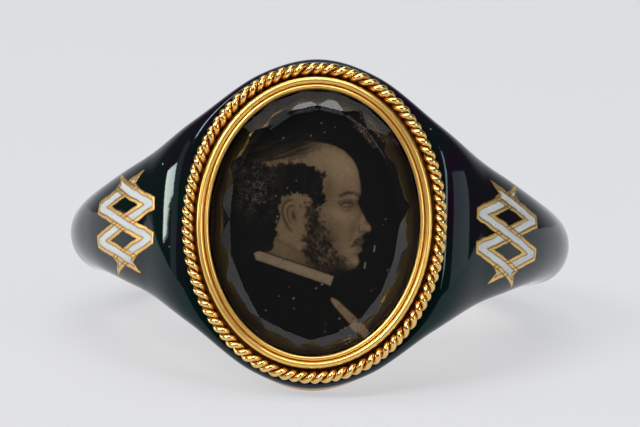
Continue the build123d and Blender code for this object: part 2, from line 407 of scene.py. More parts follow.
def makeHandling(settings):
    # fine scratches and soft patches from wear: Patch is 0 to 1, Normal carries both
    group = bpy.data.node_groups.new("handlingWear", "ShaderNodeTree")
    sockets = (
        ("Scratches", "INPUT", "NodeSocketFloat"),
        ("Patches", "INPUT", "NodeSocketFloat"),
        ("Patch", "OUTPUT", "NodeSocketFloat"),
        ("Normal", "OUTPUT", "NodeSocketVector"),
    )
    for label, way, kind in sockets:
        group.interface.new_socket(label, in_out=way, socket_type=kind)
    amounts = addNode(group, "NodeGroupInput").outputs
    turned = {"Rotation": settings["scratchTurn"], "Scale": settings["scratchStretch"]}
    fine = {"Scale": settings["scratchScale"], "Detail": 5, "Roughness": 0.65, "Distortion": 0.4}
    fine["Vector"] = onObject(group, "ShaderNodeMapping", turned).outputs[0]
    lines = addNode(group, "ShaderNodeTexNoise", fine).outputs["Fac"]
    soft = {"Scale": settings["patchScale"], "Detail": 4, "Roughness": 0.55}
    patch = onObject(group, "ShaderNodeTexNoise", soft).outputs["Fac"]
    first = {"Distance": settings["scratchDepth"], "Height": lines, "Strength": amounts["Scratches"]}
    second = {"Distance": settings["patchDepth"], "Height": patch, "Strength": amounts["Patches"]}
    second["Normal"] = addNode(group, "ShaderNodeBump", first).outputs[0]
    worn = addNode(group, "ShaderNodeBump", second).outputs[0]
    addNode(group, "NodeGroupOutput", {"Patch": patch, "Normal": worn})
    return group


handling = makeHandling(handlingSettings)


def addWear(tree, scratches, patches):
    amounts = {"Scratches": scratches, "Patches": patches}
    return addNode(tree, "ShaderNodeGroup", amounts, node_tree=handling).outputs


# Materials

goldSettings = {  # colour, darker colour for painted shade in the hollows and for wear patches, roughness, scratches, patches
    "polished": ((1.0, 0.60, 0.15), (0.60, 0.25, 0.04), 0.17, 0.25, 0.25),
    "satin": ((1.0, 0.66, 0.19), (0.40, 0.11, 0.012), 0.29, 0.4, 0.3),
    "wire": ((1.0, 0.68, 0.24), (0.30, 0.08, 0.01), 0.19, 0.2, 0.3),
    "engraved": ((0.90, 0.60, 0.20), (0.28, 0.14, 0.04), 0.30, 0.8, 0.9),
}
patchGrime = 0.25  # darkening from wear that the soft patches add
darkeningRoughness = 0.25  # roughness that full darkening adds, from painted shade or wear patches


def makeGold(name, finish):
    # the mesh's shade mark darkens hollows, crevices and edges: painted shade
    gold, dark, roughness, scratches, patches = goldSettings[finish]
    material, tree, shader = newMaterial(name, {"Metallic": 1.0})
    wear = addWear(tree, scratches, patches)
    paintedShade = addNode(tree, "ShaderNodeAttribute", attribute_name="paintedShade").outputs["Fac"]
    share = {0: wear["Patch"], 1: patchGrime}
    uneven = addNode(tree, "ShaderNodeMath", share, operation="MULTIPLY").outputs[0]
    both = addNode(tree, "ShaderNodeMath", {0: paintedShade, 1: uneven}, operation="ADD", use_clamp=True).outputs[0]
    feed(tree, shader, {
        "Base Color": mixColours(tree, both, gold, dark),
        "Roughness": rescale(tree, both, toLow=roughness, toHigh=roughness + darkeningRoughness),
        "Normal": wear["Normal"],
    })
    return material


goldPolished = makeGold("goldPolished", "polished")
goldSatin = makeGold("goldSatin", "satin")
goldWire = makeGold("goldWire", "wire")
goldEngraved = makeGold("goldEngraved", "engraved")


enamelFinish = {  # pits are dust in the glass: colour, how many, and size
    "black": {
        "colours": ((0.001, 0.006, 0.005), (0.007, 0.002, 0.008)),  # deep green and purple clouds
        "sheen": (0.58, 0.93, 1.0),
        "strength": 0.33,
        "roughness": 0.03,
        "pits": ((0.34, 0.34, 0.32), 850, 0.042),
    },
    "white": {
        "colours": ((0.53, 0.565, 0.57), (0.45, 0.475, 0.475)),
        "sheen": (1, 1, 1),
        "strength": 0.5,
        "roughness": 0.16,
        "pits": ((0.10, 0.07, 0.05), 5200, 0.16),
    },
}
enamelWear = (0.06, 0.10)  # scratches, patches
# brown painted shade in the gap beside the gold
edgeShadeColour = (0.17, 0.10, 0.05)
pitCore = 0.4  # share of a pit's width that is full
pitDepth = 0.00002  # metres
cloudScale = 330
cloudEdges = (0.38, 0.62)


def makeEnamel(name, settings):
    # the mesh's edge mark browns the glass beside the gold: painted shade of the gap there
    pitColour, pitScale, pitShare = settings["pits"]
    material, tree, shader = newMaterial(name, {
        "Roughness": settings["roughness"],
        "IOR": 1.52,
        "Specular Tint": (*settings["sheen"], 1),
        "Specular IOR Level": settings["strength"],
    })
    cells = onObject(tree, "ShaderNodeTexVoronoi", {"Scale": pitScale, "Randomness": 1})
    pit = rescale(tree, cells.outputs["Distance"], pitShare, pitShare * pitCore)
    clouds = onObject(tree, "ShaderNodeTexNoise", {"Scale": cloudScale, "Detail": 3}).outputs["Fac"]
    glass = mixColours(tree, rescale(tree, clouds, *cloudEdges), *settings["colours"])
    edgeShade = addNode(tree, "ShaderNodeAttribute", attribute_name="edgeShade").outputs["Fac"]
    glass = mixColours(tree, edgeShade, glass, edgeShadeColour)
    worn = addWear(tree, *enamelWear)["Normal"]
    sunk = {"Distance": pitDepth, "Strength": 0.6, "Height": pit, "Normal": worn}
    feed(tree, shader, {
        "Base Color": mixColours(tree, pit, glass, pitColour),
        "Normal": addNode(tree, "ShaderNodeBump", sunk, invert=True).outputs[0],
    })
    return material


blackGlaze = makeEnamel("blackGlaze", enamelFinish["black"])
whiteGlaze = makeEnamel("whiteGlaze", enamelFinish["white"])


def makeCrystal():
    # lamp light passes straight through, so the picture below is lit
    material = bpy.data.materials.new("cutCrystal")
    tree = nodeTree(material)
    stone = {"Base Color": (0.97, 0.975, 0.96, 1), "Roughness": 0.0, "IOR": 1.54, "Transmission Weight": 1.0}
    glass = addNode(tree, "ShaderNodeBsdfPrincipled", stone).outputs[0]
    clear = addNode(tree, "ShaderNodeBsdfTransparent").outputs[0]
    path = addNode(tree, "ShaderNodeLightPath").outputs
    light = {0: path["Is Shadow Ray"], 1: path["Is Diffuse Ray"]}
    passes = addNode(tree, "ShaderNodeMath", light, operation="MAXIMUM").outputs[0]
    mixed = addNode(tree, "ShaderNodeMixShader", {0: passes, 1: glass, 2: clear}).outputs[0]
    addNode(tree, "ShaderNodeOutputMaterial", {"Surface": mixed})
    return material


def makeBlackShadeWall():
    # near-black sides of the crystal: painted shade where the setting's wall is seen through the crystal
    material, tree, shader = newMaterial("blackShadeWall", {"Roughness": 0.6})
    patches = onObject(tree, "ShaderNodeTexNoise", {"Scale": 900, "Detail": 5}).outputs["Fac"]
    tones = mixColours(tree, patches, (0.002, 0.002, 0.002), (0.012, 0.007, 0.003))
    feed(tree, shader, {"Base Color": tones})
    return material


cutCrystal = makeCrystal()
blackShadeWall = makeBlackShadeWall()
print("materials ready")


# Hoop

hoopSettings = {
    "frontStations": 513,
    "backStations": 209,
    "lip": 0.03,  # how far the gold edge beside the enamel stands out
    "lipHeight": 0.16,
    "edgeRound": 0.10,
    "footDepth": 8.3,  # distance from the finger's axis where the table's foot is measured
    "ledgeEdge": ((-0.05, 0), (-0.02, -0.004), (0, -0.012), (0.004, -0.024)),  # its rounding, up and out
    "pocket": (4.43, 5.56),  # half sizes of the hollow under the portrait
    "pocketFloor": 9.95,
}


def hoopLoop(angles, inset, lip, settings):
    _, ledge, half, foot, _ = formAt(angles)
    low = settings["footDepth"]
    wallTop = half + lip
    topAt = ledge - settings["lipHeight"]

    def wall(r):
        return foot + (wallTop - foot) * (r - low) / (topAt - low)

    rows = []  # from the middle of the bore up over one side
    soft = settings["edgeRound"]
    inner = wall(boreRadius)
    for share in np.linspace(0, 1, 5):
        rows.append((0 * angles + boreRadius, (inner - soft) * share))
    for a in np.radians((22, 45, 68, 90)):
        rows.append((0 * angles + boreRadius + soft * (1 - np.cos(a)), inner - soft + soft * np.sin(a)))
    for share in np.linspace(0.15, 1, 6):
        r = boreRadius + soft + (topAt - boreRadius - soft) * share
        rows.append((r, wall(r)))
    rows += [(ledge + up, wallTop + out) for up, out in settings["ledgeEdge"]]
    r, z = roundTop(angles, inset, 0, range(90, -1, -10))
    rows += [(r[:, k], z[:, k]) for k in range(r.shape[1])]
    upper = [np.stack(row, -1) for row in rows]
    lower = [p * (1, -1) for p in upper[1:-1][::-1]]
    return np.stack(upper + lower, 1)


def makeHoop(settings):
    front = np.linspace(-enamelEnd, enamelEnd, settings["frontStations"])
    back = np.linspace(enamelEnd, 360 - enamelEnd, settings["backStations"])
    frontLoop = hoopLoop(front, enamelDepth, settings["lip"], settings)
    backLoop = hoopLoop(back, 0, 0, settings)
    loops = np.vstack([frontLoop, backLoop])
    angles = np.concatenate([front, back])
    points = aroundAxis(angles[:, None], loops[..., 0], loops[..., 1])
    points[..., 1] = np.maximum(points[..., 1], enamelDepth - seatHeight)
    rows, columns = points.shape[:2]
    hoop = addMesh("hoopGold", points.reshape(-1, 3), gridFaces(rows, columns, True, True))
    cutAway(hoop, ovalColumn("pocketCutter", settings["pocket"], settings["pocketFloor"], 14))
    keepSharp(hoop, 40)
    finishPiece(hoop, goldPolished, "gold", "hoop")


makeHoop(hoopSettings)
print("hoop made")


# Black enamel

enamelSettings = {
    "stations": 513,
    "sweep": 121,
    "skin": 0.285,  # thickness
    "lift": 0.015,  # gap above the gold ledge
    "unevenness": 0.006,
    "waves": 1.6,  # mm
    "opening": 0.60,  # under the bezel, this far outside the aperture
}


def makeBlackEnamel(settings):
    angles = np.linspace(-enamelEnd, enamelEnd, settings["stations"])
    outer = roundTop(angles, 0, settings["lift"], np.linspace(-90, 90, settings["sweep"]))
    inner = roundTop(angles, settings["skin"], settings["lift"], np.linspace(90, -90, 31))
    r = np.hstack([outer[0], inner[0]])
    z = np.hstack([outer[1], inner[1]])
    seen = slice(settings["sweep"])
    skin = aroundAxis(angles[:, None], r[:, seen], z[:, seen]).reshape(-1, 3)
    r[:, seen] += ripple(skin, settings["waves"], 1).reshape(len(angles), -1) * settings["unevenness"]
    points = aroundAxis(angles[:, None], r, z)
    points[..., 1] = np.maximum(points[..., 1], -seatHeight)
    rows, columns = points.shape[:2]
    first = list(range(columns))
    last = [(rows - 1) * columns + k for k in first]
    faces = gridFaces(rows, columns, False, True) + [first, last[::-1]]
    enamel = addMesh("blackEnamel", points.reshape(-1, 3), faces)
    halfSizes = [half + settings["opening"] for half in aperture]
    cutAway(enamel, ovalColumn("openingCutter", halfSizes, 9, 14))
    keepSharp(enamel, 35)
    lozenges = [n for n in frame["nodes"] if n.startswith("black_lozenge")]
    finishPiece(enamel, blackGlaze, "black_enamel", "black_enamel", *lozenges)


makeBlackEnamel(enamelSettings)
print("black enamel made")


# The plait on each shoulder, drawn flat: s runs away from the head and z along the finger

plaitSettings = {
    "angle": 61,
    "centre": (7.95, -7.72),
    "reach": 2.15,  # from the middle to a fold
    "rise": 0.70,  # half the height between two crossings
    "tail": 1.10,  # loose end past the outer crossing
    "foldMargin": 0.30,
    "strandHalf": 0.332,
    "whiteHalf": 0.162,
    "whiteFold": 0.16,
    "notch": 0.34,
    "prong": 0.22,
    "tailMargin": 1.2,
    "goldSpacing": 0.036,  # between the mesh's points
    "whiteSpacing": 0.05,
    "goldDepth": 0.26,  # into the shoulder
    "whiteDepth": 0.20,
    "goldDome": (0.014, 0.012, 0.04, 0.6),  # lift at the edge, more inside, over this width, how full
    "whiteDome": (0.010, 0.016, 0.16, 0.5),
    "paintedShade": (0.035, 0.9),  # painted shade beside the gold's edges: how far from the edge, and how much at it
    # painted shade in the gap beside the gold: how far from the edge, and how much at it
    "edgeShade": (0.05, 0.8),
    "slowWobble": 0.022,
    "fastWobble": 0.010,
}


def strandOutline(half, fold, settings):
    rise, slope = settings["rise"], settings["rise"] / settings["reach"]
    tall = half * math.hypot(1, slope)
    top = 2 * rise
    inner = (rise - tall) / slope
    share = half / settings["strandHalf"]
    margin = settings["tailMargin"] * (settings["strandHalf"] - half)
    notch = settings["tail"] - settings["notch"] - margin
    corner = notch + settings["notch"] * share
    point = notch + (settings["notch"] + settings["prong"]) * share

    def first(s, side):
        return s, top - slope * s + side * tall

    def second(s, side):
        return s, slope * s + side * tall

    def third(s, side):
        return s, -top - slope * s + side * tall

    return [
        first(-corner, 1), first(fold, 1), second(fold, -1), (-inner, -rise),
        third(corner, 1), third(notch, 0), third(point, -1), third(-fold, -1),
        second(-fold, 1), (inner, rise), first(-corner, -1), first(-notch, 0), first(-point, 1),
    ]


def crossingCover(runHeight, settings):
    # the stretch of the strand on top at a crossing, which runs down to the right
    slope = settings["rise"] / settings["reach"]
    tall = settings["strandHalf"] * math.hypot(1, slope)
    reach = 1.4 * tall / slope
    rise = -slope * reach
    return [
        (-reach, runHeight - rise - tall), (reach, runHeight + rise - tall),
        (reach, runHeight + rise + tall), (-reach, runHeight - rise + tall),
    ]


def mirrored(points):
    return [(-s, z) for s, z in points]


def inside(points, outline):
    # which points lie inside a closed outline
    x, y = points[:, 0], points[:, 1]
    hit = np.zeros(len(points), bool)
    for (x0, y0), (x1, y1) in zip(outline, outline[1:] + outline[:1]):
        if y0 != y1:
            crosses = (y0 > y) != (y1 > y)
            hit ^= crosses & (x < (x1 - x0) * (y - y0) / (y1 - y0) + x0)
    return hit


def fromLine(points, line):
    # distance to a line through some points
    x, y = np.ascontiguousarray(points.T)
    best = np.full(len(points), np.inf)
    for (x0, y0), (x1, y1) in zip(line, line[1:]):
        dx, dy = x1 - x0, y1 - y0
        along = clamp(((x - x0) * dx + (y - y0) * dy) / (dx * dx + dy * dy))
        best = np.minimum(best, (x - x0 - along * dx) ** 2 + (y - y0 - along * dy) ** 2)
    return np.sqrt(best)


def fromEdge(points, *outlines):
    # distance to the nearest of some closed outlines
    return np.min([fromLine(points, outline + outline[:1]) for outline in outlines], axis=0)


def inStrand(points, outline, covers):
    # inside the outline, but not where another strand lies over it
    here = inside(points, outline)
    for cover in covers:
        here &= ~inside(points, cover)
    return here


def fillFlat(outlines, covered, spacing, keep):
    # triangles over the places that keep() accepts, with a vertex every so often
    points, edges = [], []
    for outline in outlines + covered:
        start = len(points)
        for a, b in zip(outline, outline[1:] + outline[:1]):
            steps = max(1, int(math.dist(a, b) / spacing))
            points += [Vector(a).lerp(Vector(b), k / steps) for k in range(steps)]
        edges += [(k, k + 1) for k in range(start, len(points) - 1)] + [(len(points) - 1, start)]
    corners = np.array([tuple(p) for p in points])
    low, high = corners.min(0), corners.max(0)
    s, z = np.meshgrid(np.arange(low[0], high[0], spacing), np.arange(low[1], high[1], spacing * 0.87))
    s[1::2] += spacing / 2
    grid = np.stack([s.ravel(), z.ravel()], -1)
    grid = grid[keep(grid)]
    grid = grid[fromEdge(grid, *outlines, *covered) > spacing * 0.55]
    points += [Vector(p) for p in grid]
    made, _, triangles, *_ = delaunay_2d_cdt(points, edges, [], 0, 1e-6)
    made = np.array([tuple(p) for p in made])
    triangles = np.array(triangles)
    return made, triangles[keep(made[triangles].mean(1))]


def loosePieces(points, triangles):
    # splits triangles into groups that hang together
    group = np.arange(len(points))
    changed = True
    while changed:
        least = group[triangles].min(1)
        before = group.copy()
        for k in range(3):
            np.minimum.at(group, triangles[:, k], least)
        group = group[group]
        changed = (before != group).any()
    return [triangles[group[triangles[:, 0]] == g] for g in sorted(set(group[triangles[:, 0]]))]


def onShoulder(flat, side, lift, settings):
    # lays flat points on the shoulder's surface, lifted off it by that much
    a = math.radians(settings["angle"])
    x = side * (settings["centre"][0] + flat[:, 0] * math.cos(a))
    y = settings["centre"][1] + flat[:, 0] * math.sin(a)
    z = side * flat[:, 1]
    low, high = np.full(len(flat), -2.0), np.full(len(flat), 2.0)
    for _ in range(32):
        t = (low + high) / 2
        px, py = x + t * side * math.sin(a), y - t * math.cos(a)
        outside = np.hypot(px, py) > topHeight(np.degrees(np.arctan2(px, -py)), z)
        high, low = np.where(outside, t, high), np.where(outside, low, t)
    t = t + lift
    return np.stack([x + t * side * math.sin(a), y - t * math.cos(a), z], -1)


def wobbled(flat, side, settings):
    # the engraver's uneven hand
    moved = flat.copy()
    for size, amount, seed in ((0.55, settings["slowWobble"], 11), (0.17, settings["fastWobble"], 23)):
        for axis in (0, 1):
            here = [(s, z, side * 3 + axis * 5) for s, z in flat]
            moved[:, axis] += ripple(here, size, seed) * amount * 2
    return moved


def slab(name, flat, triangles, side, top, depth, settings, marks):
    # a thin closed solid laid on the shoulder
    used, triangles = np.unique(triangles, return_inverse=True)
    triangles = triangles.reshape(-1, 3)
    flat, top = flat[used], top[used]
    marks = {mark: values[used] for mark, values in marks.items()}
    shape = wobbled(flat, side, settings)
    upper = onShoulder(shape, side, top, settings)
    under = onShoulder(shape, side, -depth, settings)
    count = len(flat)
    edges = np.vstack([triangles[:, [k, (k + 1) % 3]] for k in range(3)])
    _, first, times = np.unique(np.sort(edges, axis=1), axis=0, return_index=True, return_counts=True)
    rim = edges[first[times == 1]]
    walls = [[b, a, a + count, b + count] for a, b in rim.tolist()]
    faces = triangles.tolist() + (triangles[:, ::-1] + count).tolist() + walls
    marks = {mark: np.concatenate([values, values]) for mark, values in marks.items()}
    obj = addMesh(name, np.vstack([upper, under]), faces, marks)
    keepSharp(obj, 40)
    return obj


def domed(rim, shape):
    edge, rise, width, power = shape
    return edge + rise * clamp(rim / width) ** power


def besideEdge(rim, shade):
    width, most = shade
    return clamp(1 - rim / width) * most


def makePlait(sideName, side, settings):
    fold = settings["reach"] + settings["foldMargin"]
    gold = [strandOutline(settings["strandHalf"], fold, settings)]
    gold.append(mirrored(gold[0]))
    white = strandOutline(settings["whiteHalf"], fold - settings["whiteFold"], settings)
    top = 2 * settings["rise"]
    strands = [
        (white, [crossingCover(0, settings)]),
        (mirrored(white), [crossingCover(top, settings), crossingCover(-top, settings)]),
    ]

    def inGold(points):
        inWhite = np.any([inStrand(points, *strand) for strand in strands], axis=0)
        return (inside(points, gold[0]) | inside(points, gold[1])) & ~inWhite

    bounds = gold + [outline for outline, _ in strands]
    covers = [cover for _, itsCovers in strands for cover in itsCovers]
    flat, triangles = fillFlat(bounds, covers, settings["goldSpacing"], inGold)
    rim = fromEdge(flat, *bounds)
    lift = domed(rim, settings["goldDome"])
    # painted shade, darker towards the edges of the gold lines
    marks = {"paintedShade": besideEdge(rim, settings["paintedShade"])}
    lines = slab("goldPlait" + sideName, flat, triangles, side, lift, settings["goldDepth"], settings, marks)
    finishPiece(lines, goldEngraved, "gold", "hoop")
    cells = []
    for outline, covers in strands:
        def inCell(points):
            return inStrand(points, outline, covers)

        flat, triangles = fillFlat([outline], covers, settings["whiteSpacing"], inCell)
        rim = fromEdge(flat, outline, *covers)
        lift = domed(rim, settings["whiteDome"])
        # painted shade, brown beside the gold
        marks = {"edgeShade": besideEdge(rim, settings["edgeShade"])}
        cells += [(flat, group, lift, marks) for group in loosePieces(flat, triangles)]

    def fromTop(cell):
        middle = cell[0][cell[1]].reshape(-1, 2).mean(0) * (1, side)
        return -round(middle[1], 2), side * middle[0]

    for number, (flat, group, lift, marks) in enumerate(sorted(cells, key=fromTop), 1):
        name = f"whiteCell{sideName}{number}"
        cell = slab(name, flat, group, side, lift, settings["whiteDepth"], settings, marks)
        finishPiece(cell, whiteGlaze, "white_enamel", f"white_enamel_{sideName.lower()}_{number}")


makePlait("Left", -1, plaitSettings)
makePlait("Right", 1, plaitSettings)
print("plaits made")


# The bezel frame with its two ridges, and the twisted wire round it

bezelSettings = {
    "steps": 720,
    "stepsAlong": 0.3,  # the oval, this far outside the aperture, that they are even on
    # the profile: distance outside the aperture, height, and painted shade, darkest in the groove and down the
    # outer wall by the wire
    "inside": [
        (0.12, 10.765, 0.6), (0.12, 11.25, 0.6), (0.02, 11.33, 0.5), (0.0, 11.36, 0.3), (0.0, 11.50, 0.0),
    ],
    "innerRidge": (0.095, 11.60, 0.095),  # middle, height and radius
    "groove": [(0.185, 11.56, 1.0), (0.220, 11.56, 1.0)],
    "outerRidge": (0.350, 11.62, 0.135),
    "outside": [
        (0.49, 11.50, 0.5), (0.50, 11.36, 0.9), (0.53, 11.22, 1.0), (0.56, 11.07, 1.0), (0.56, 10.90, 1.0),
        (0.56, 10.765, 1.0),
    ],
    "unevenness": 0.010,
    "waves": 0.9,  # mm
}


def ridge(place, first, last, count):
    x, h, r = place
    sweep = np.radians(np.linspace(first, last, count))
    return [(x + r * math.cos(a), h + r * math.sin(a), 0.0) for a in sweep]


def makeBezel(settings):
    profile = settings["inside"] + ridge(settings["innerRidge"], 180, 18, 12) + settings["groove"]
    profile = np.array(profile + ridge(settings["outerRidge"], 165, 0, 14) + settings["outside"])
    t = evenSteps(settings["stepsAlong"], settings["steps"])
    shape = (len(t), len(profile))
    # the third column paints shade into the groove and the crevice beside the wire
    offsets, heights, paintedShade = (np.broadcast_to(column, shape) for column in profile.T)
    flat = ovalPoint(offsets, t[:, None])[0]
    points = np.stack([flat[..., 0], -heights, flat[..., 1]], -1)
    waves = ripple(points.reshape(-1, 3), settings["waves"], 3).reshape(shape)
    points[..., 1] -= waves * settings["unevenness"]
    ring = addMesh("bezelFrame", points.reshape(-1, 3), gridFaces(*shape, True, True), {"paintedShade": paintedShade})
    keepSharp(ring, 50)
    finishPiece(ring, goldSatin, "gold", "bezel_frame")


ropeSettings = {
    "offset": 0.84,
    "height": 11.33,
    "strand": 0.130,
    "turns": 43,
    "stepsPerTurn": 24,
    "sides": 10,
    "sizeChange": 0.07,
    "twistChange": 0.7,
}


def makeRope(settings):
    count = settings["turns"] * settings["stepsPerTurn"]
    t = evenSteps(settings["offset"], count)
    flat, out = ovalPoint(np.full(count, settings["offset"]), t)
    middle = np.stack([flat[:, 0], np.full(count, -settings["height"]), flat[:, 1]], -1)
    outward = np.stack([out[:, 0], 0 * t, out[:, 1]], -1)
    upward = np.array((0, -1.0, 0))
    turn = 2 * np.pi * np.arange(count) / settings["stepsPerTurn"]
    slow = ripple(np.stack([np.cos(t) * 3, np.sin(t) * 3, 0 * t], -1), 0.35, 5)
    turn = turn + slow * settings["twistChange"]
    a = np.linspace(0, 2 * np.pi, settings["sides"], endpoint=False)
    paintedShade = np.tile(clamp(1.5 * (0.5 - 0.5 * np.cos(a)) - 0.4), count)  # painted shade where the wires touch
    for strand, start in (("First", 0), ("Second", np.pi)):
        radial = np.cos(turn + start)[:, None] * outward + np.sin(turn + start)[:, None] * upward
        size = settings["strand"] * (1 + settings["sizeChange"] * ripple(middle, 0.5, 7 + start))
        line = middle + radial * settings["strand"]
        along = np.roll(line, -1, axis=0) - np.roll(line, 1, axis=0)
        along /= np.linalg.norm(along, axis=1, keepdims=True)
        across = np.cross(along, radial)
        across /= np.linalg.norm(across, axis=1, keepdims=True)
        upright = np.cross(across, along)
        ring = np.cos(a)[None, :, None] * upright[:, None] + np.sin(a)[None, :, None] * across[:, None]
        points = line[:, None] + ring * size[:, None, None]
        faces = gridFaces(count, settings["sides"], True, True)
        wire = addMesh("borderWire" + strand, points.reshape(-1, 3), faces, {"paintedShade": paintedShade})
        finishPiece(wire, goldWire, "gold", "bezel_frame")


makeBezel(bezelSettings)
makeRope(ropeSettings)
print("bezel and border made")


# Crystal

crystalSettings = {
    "sides": 20,
    "rings": [  # half sizes, height, share of a side turned
        ((4.27, 5.42), 10.18, 0.5),
        ((4.27, 5.42), 11.15, 0.5),
        ((3.93, 5.165), 11.53, 0.5),
        ((3.45, 4.74), 11.94, 0.0),
    ],
    "uneven": 0.00875,  # share of its size, in the upper two rings
}


def makeCrystalStone(settings):
    chance = np.random.default_rng(17)
    sides = settings["sides"]
    rings = []
    for level, ((across, up), height, turn) in enumerate(settings["rings"]):
        a = 2 * np.pi * (np.arange(sides) + turn) / sides
        grow = 1 + chance.normal(0, settings["uneven"], sides) * (level > 1)
        rings.append(np.stack([across * np.cos(a) * grow, 0 * a - height, up * np.sin(a) * grow], -1))
    caps = [list(range(sides))[::-1], list(range(3 * sides, 4 * sides))]
    faces = gridFaces(len(rings), sides, closeColumns=True) + caps
    stone = addMesh("cutCrystal", np.vstack(rings), faces, smooth=False)
    finishPiece(stone, cutCrystal, "crystal", "crystal")
    # the crystal's sides take the near-black painted shade
    stone.data.materials.append(blackShadeWall)
    for k in range(sides):
        stone.data.polygons[k].material_index = 1


makeCrystalStone(crystalSettings)
print("crystal made")


# Portrait, painted as colours on the plate's fine mesh. Its lengths are shares of the head's height:
# forward from the middle of the head, and up from the chin.

pictureSettings = {
    "headHeight": 5.28,  # mm
    "chin": (-0.30, -1.93),  # place of the head's middle line at the chin
    "tilt": 2.0,  # degrees, backwards
    "ageing": (0.31, 0.27, 0.235),  # what the browned print still sends back
    "dustReach": (3.1, 4.4),  # mm from the middle of the crystal
    "specks": 46,
    "speckSize": (0.014, 0.032),  # mm
}

paints = {
    "ground": (15, 15, 19),
    "skin": (146, 129, 106),
    "skinLight": (186, 170, 143),
    "skinDark": (66, 54, 43),
    "eyeWhite": (150, 140, 124),
    "hair": (9, 9, 10),
    "hairLight": (92, 88, 84),
    "hairSheen": (34, 33, 34),
    "thinHair": (24, 21, 16),
    "hairline": (112, 98, 66),
    "combedHair": (70, 60, 42),
    "whiskers": (22, 19, 16),
    "whiskerLight": (134, 121, 103),
    "moustache": (54, 45, 36),
    "linen": (166, 152, 134),
    "coat": (7, 7, 8),
    "lapel": (27, 26, 28),
    "coatFold": (21, 20, 22),
    "dust": (214, 216, 210),
    "lint": (150, 152, 146),
    "flawReflectionGreen": (120, 150, 128),
    "flawReflectionViolet": (150, 120, 170),
    "flawReflectionAmber": (216, 168, 112),
}

headOutline = [
    (0.02, 1.00), (0.19, 0.975), (0.32, 0.905), (0.395, 0.80), (0.418, 0.69), (0.427, 0.60), (0.402, 0.53),
    (0.428, 0.465), (0.466, 0.39), (0.500, 0.335), (0.497, 0.303), (0.455, 0.284), (0.432, 0.262),
    (0.447, 0.222), (0.425, 0.192), (0.438, 0.160), (0.405, 0.120), (0.412, 0.065), (0.375, 0.015),
    (0.29, 0.0), (0.18, 0.045), (0.0, 0.12), (-0.25, 0.25), (-0.38, 0.33), (-0.44, 0.46), (-0.46, 0.62),
    (-0.42, 0.80), (-0.30, 0.93), (-0.13, 0.99),
]
neckOutline = [
    (0.24, 0.06), (0.16, -0.02), (0.17, -0.14), (0.15, -0.30), (-0.42, -0.25), (-0.36, 0.05), (-0.33, 0.28),
    (0.0, 0.28),
]
sideHair = [
    (0.12, 0.775), (0.145, 0.70), (0.125, 0.63), (0.165, 0.56), (0.13, 0.50), (0.075, 0.475), (0.055, 0.52),
    (0.0, 0.585), (-0.09, 0.60), (-0.17, 0.555), (-0.205, 0.45), (-0.215, 0.34), (-0.235, 0.22), (-0.30, 0.13),
    (-0.40, 0.17), (-0.455, 0.33), (-0.50, 0.47), (-0.525, 0.62), (-0.50, 0.75), (-0.43, 0.84), (-0.25, 0.815),
    (-0.05, 0.835),
]
topHair = [
    (-0.47, 0.83), (-0.44, 0.93), (-0.30, 1.01), (-0.12, 1.045), (0.04, 1.035), (0.15, 0.985), (0.10, 0.925),
    (-0.04, 0.875), (-0.25, 0.845),
]
whiskers = [
    (-0.02, 0.50), (0.075, 0.49), (0.105, 0.40), (0.15, 0.345), (0.19, 0.27), (0.225, 0.17), (0.285, 0.095),
    (0.325, 0.02), (0.28, -0.035), (0.16, -0.025), (0.04, 0.03), (-0.01, 0.14), (-0.005, 0.27), (0.01, 0.38),
]
moustache = [
    (0.438, 0.262), (0.453, 0.235), (0.435, 0.205), (0.395, 0.195), (0.345, 0.18), (0.36, 0.215),
    (0.395, 0.25),
]
earOutline = [
    (-0.060, 0.475), (-0.072, 0.515), (-0.105, 0.532), (-0.145, 0.520), (-0.165, 0.480), (-0.160, 0.425),
    (-0.135, 0.365), (-0.105, 0.325), (-0.078, 0.318), (-0.066, 0.345), (-0.060, 0.395), (-0.056, 0.435),
]
collar = [(-0.40, 0.135), (-0.36, 0.155), (0.215, -0.045), (0.19, -0.115), (-0.385, 0.09)]
shirtFront = [(0.195, -0.235), (0.235, -0.225), (0.385, -0.365), (0.49, -0.48), (0.47, -0.52), (0.33, -0.40)]
shoulders = [
    (-0.41, 0.10), (-0.20, 0.06), (0.17, -0.07), (0.30, -0.20), (0.52, -0.42), (0.75, -0.85), (-0.95, -0.85),
    (-0.80, -0.20),
]
headPlanes = [  # middle, size, turn in degrees, light
    ((0.30, 0.80), (0.12, 0.13), 20, 0.34),  # forehead
    ((0.16, 0.86), (0.12, 0.08), 10, 0.14),
    ((0.17, 0.62), (0.055, 0.12), 0, -0.20),  # temple
    ((0.345, 0.565), (0.07, 0.022), 5, 0.10),  # brow bone
    ((0.335, 0.515), (0.075, 0.038), 0, -0.34),  # socket
    ((0.27, 0.43), (0.085, 0.045), -25, 0.26),  # cheekbone
    ((0.20, 0.28), (0.06, 0.12), 20, -0.24),  # hollow of the cheek
    ((0.445, 0.41), (0.022, 0.09), -24, 0.30),  # bridge of the nose
    ((0.482, 0.335), (0.022, 0.022), 0, 0.26),
    ((0.415, 0.39), (0.018, 0.07), -20, -0.16),
    ((0.36, 0.33), (0.02, 0.075), -28, -0.15),  # fold beside the nose
    ((0.345, 0.145), (0.035, 0.05), 0, 0.10),
    ((0.395, 0.125), (0.04, 0.012), 0, -0.26),  # under the lower lip
    ((0.385, 0.065), (0.03, 0.035), 0, 0.26),  # chin
    ((0.31, 0.015), (0.12, 0.03), 12, -0.34),  # under the jaw
    ((0.08, 0.42), (0.06, 0.10), 0, -0.12),
]


def toLinear(colour):
    c = np.array(colour, float) / 255
    return np.where(c <= 0.04045, c / 12.92, ((c + 0.055) / 1.055) ** 2.4)


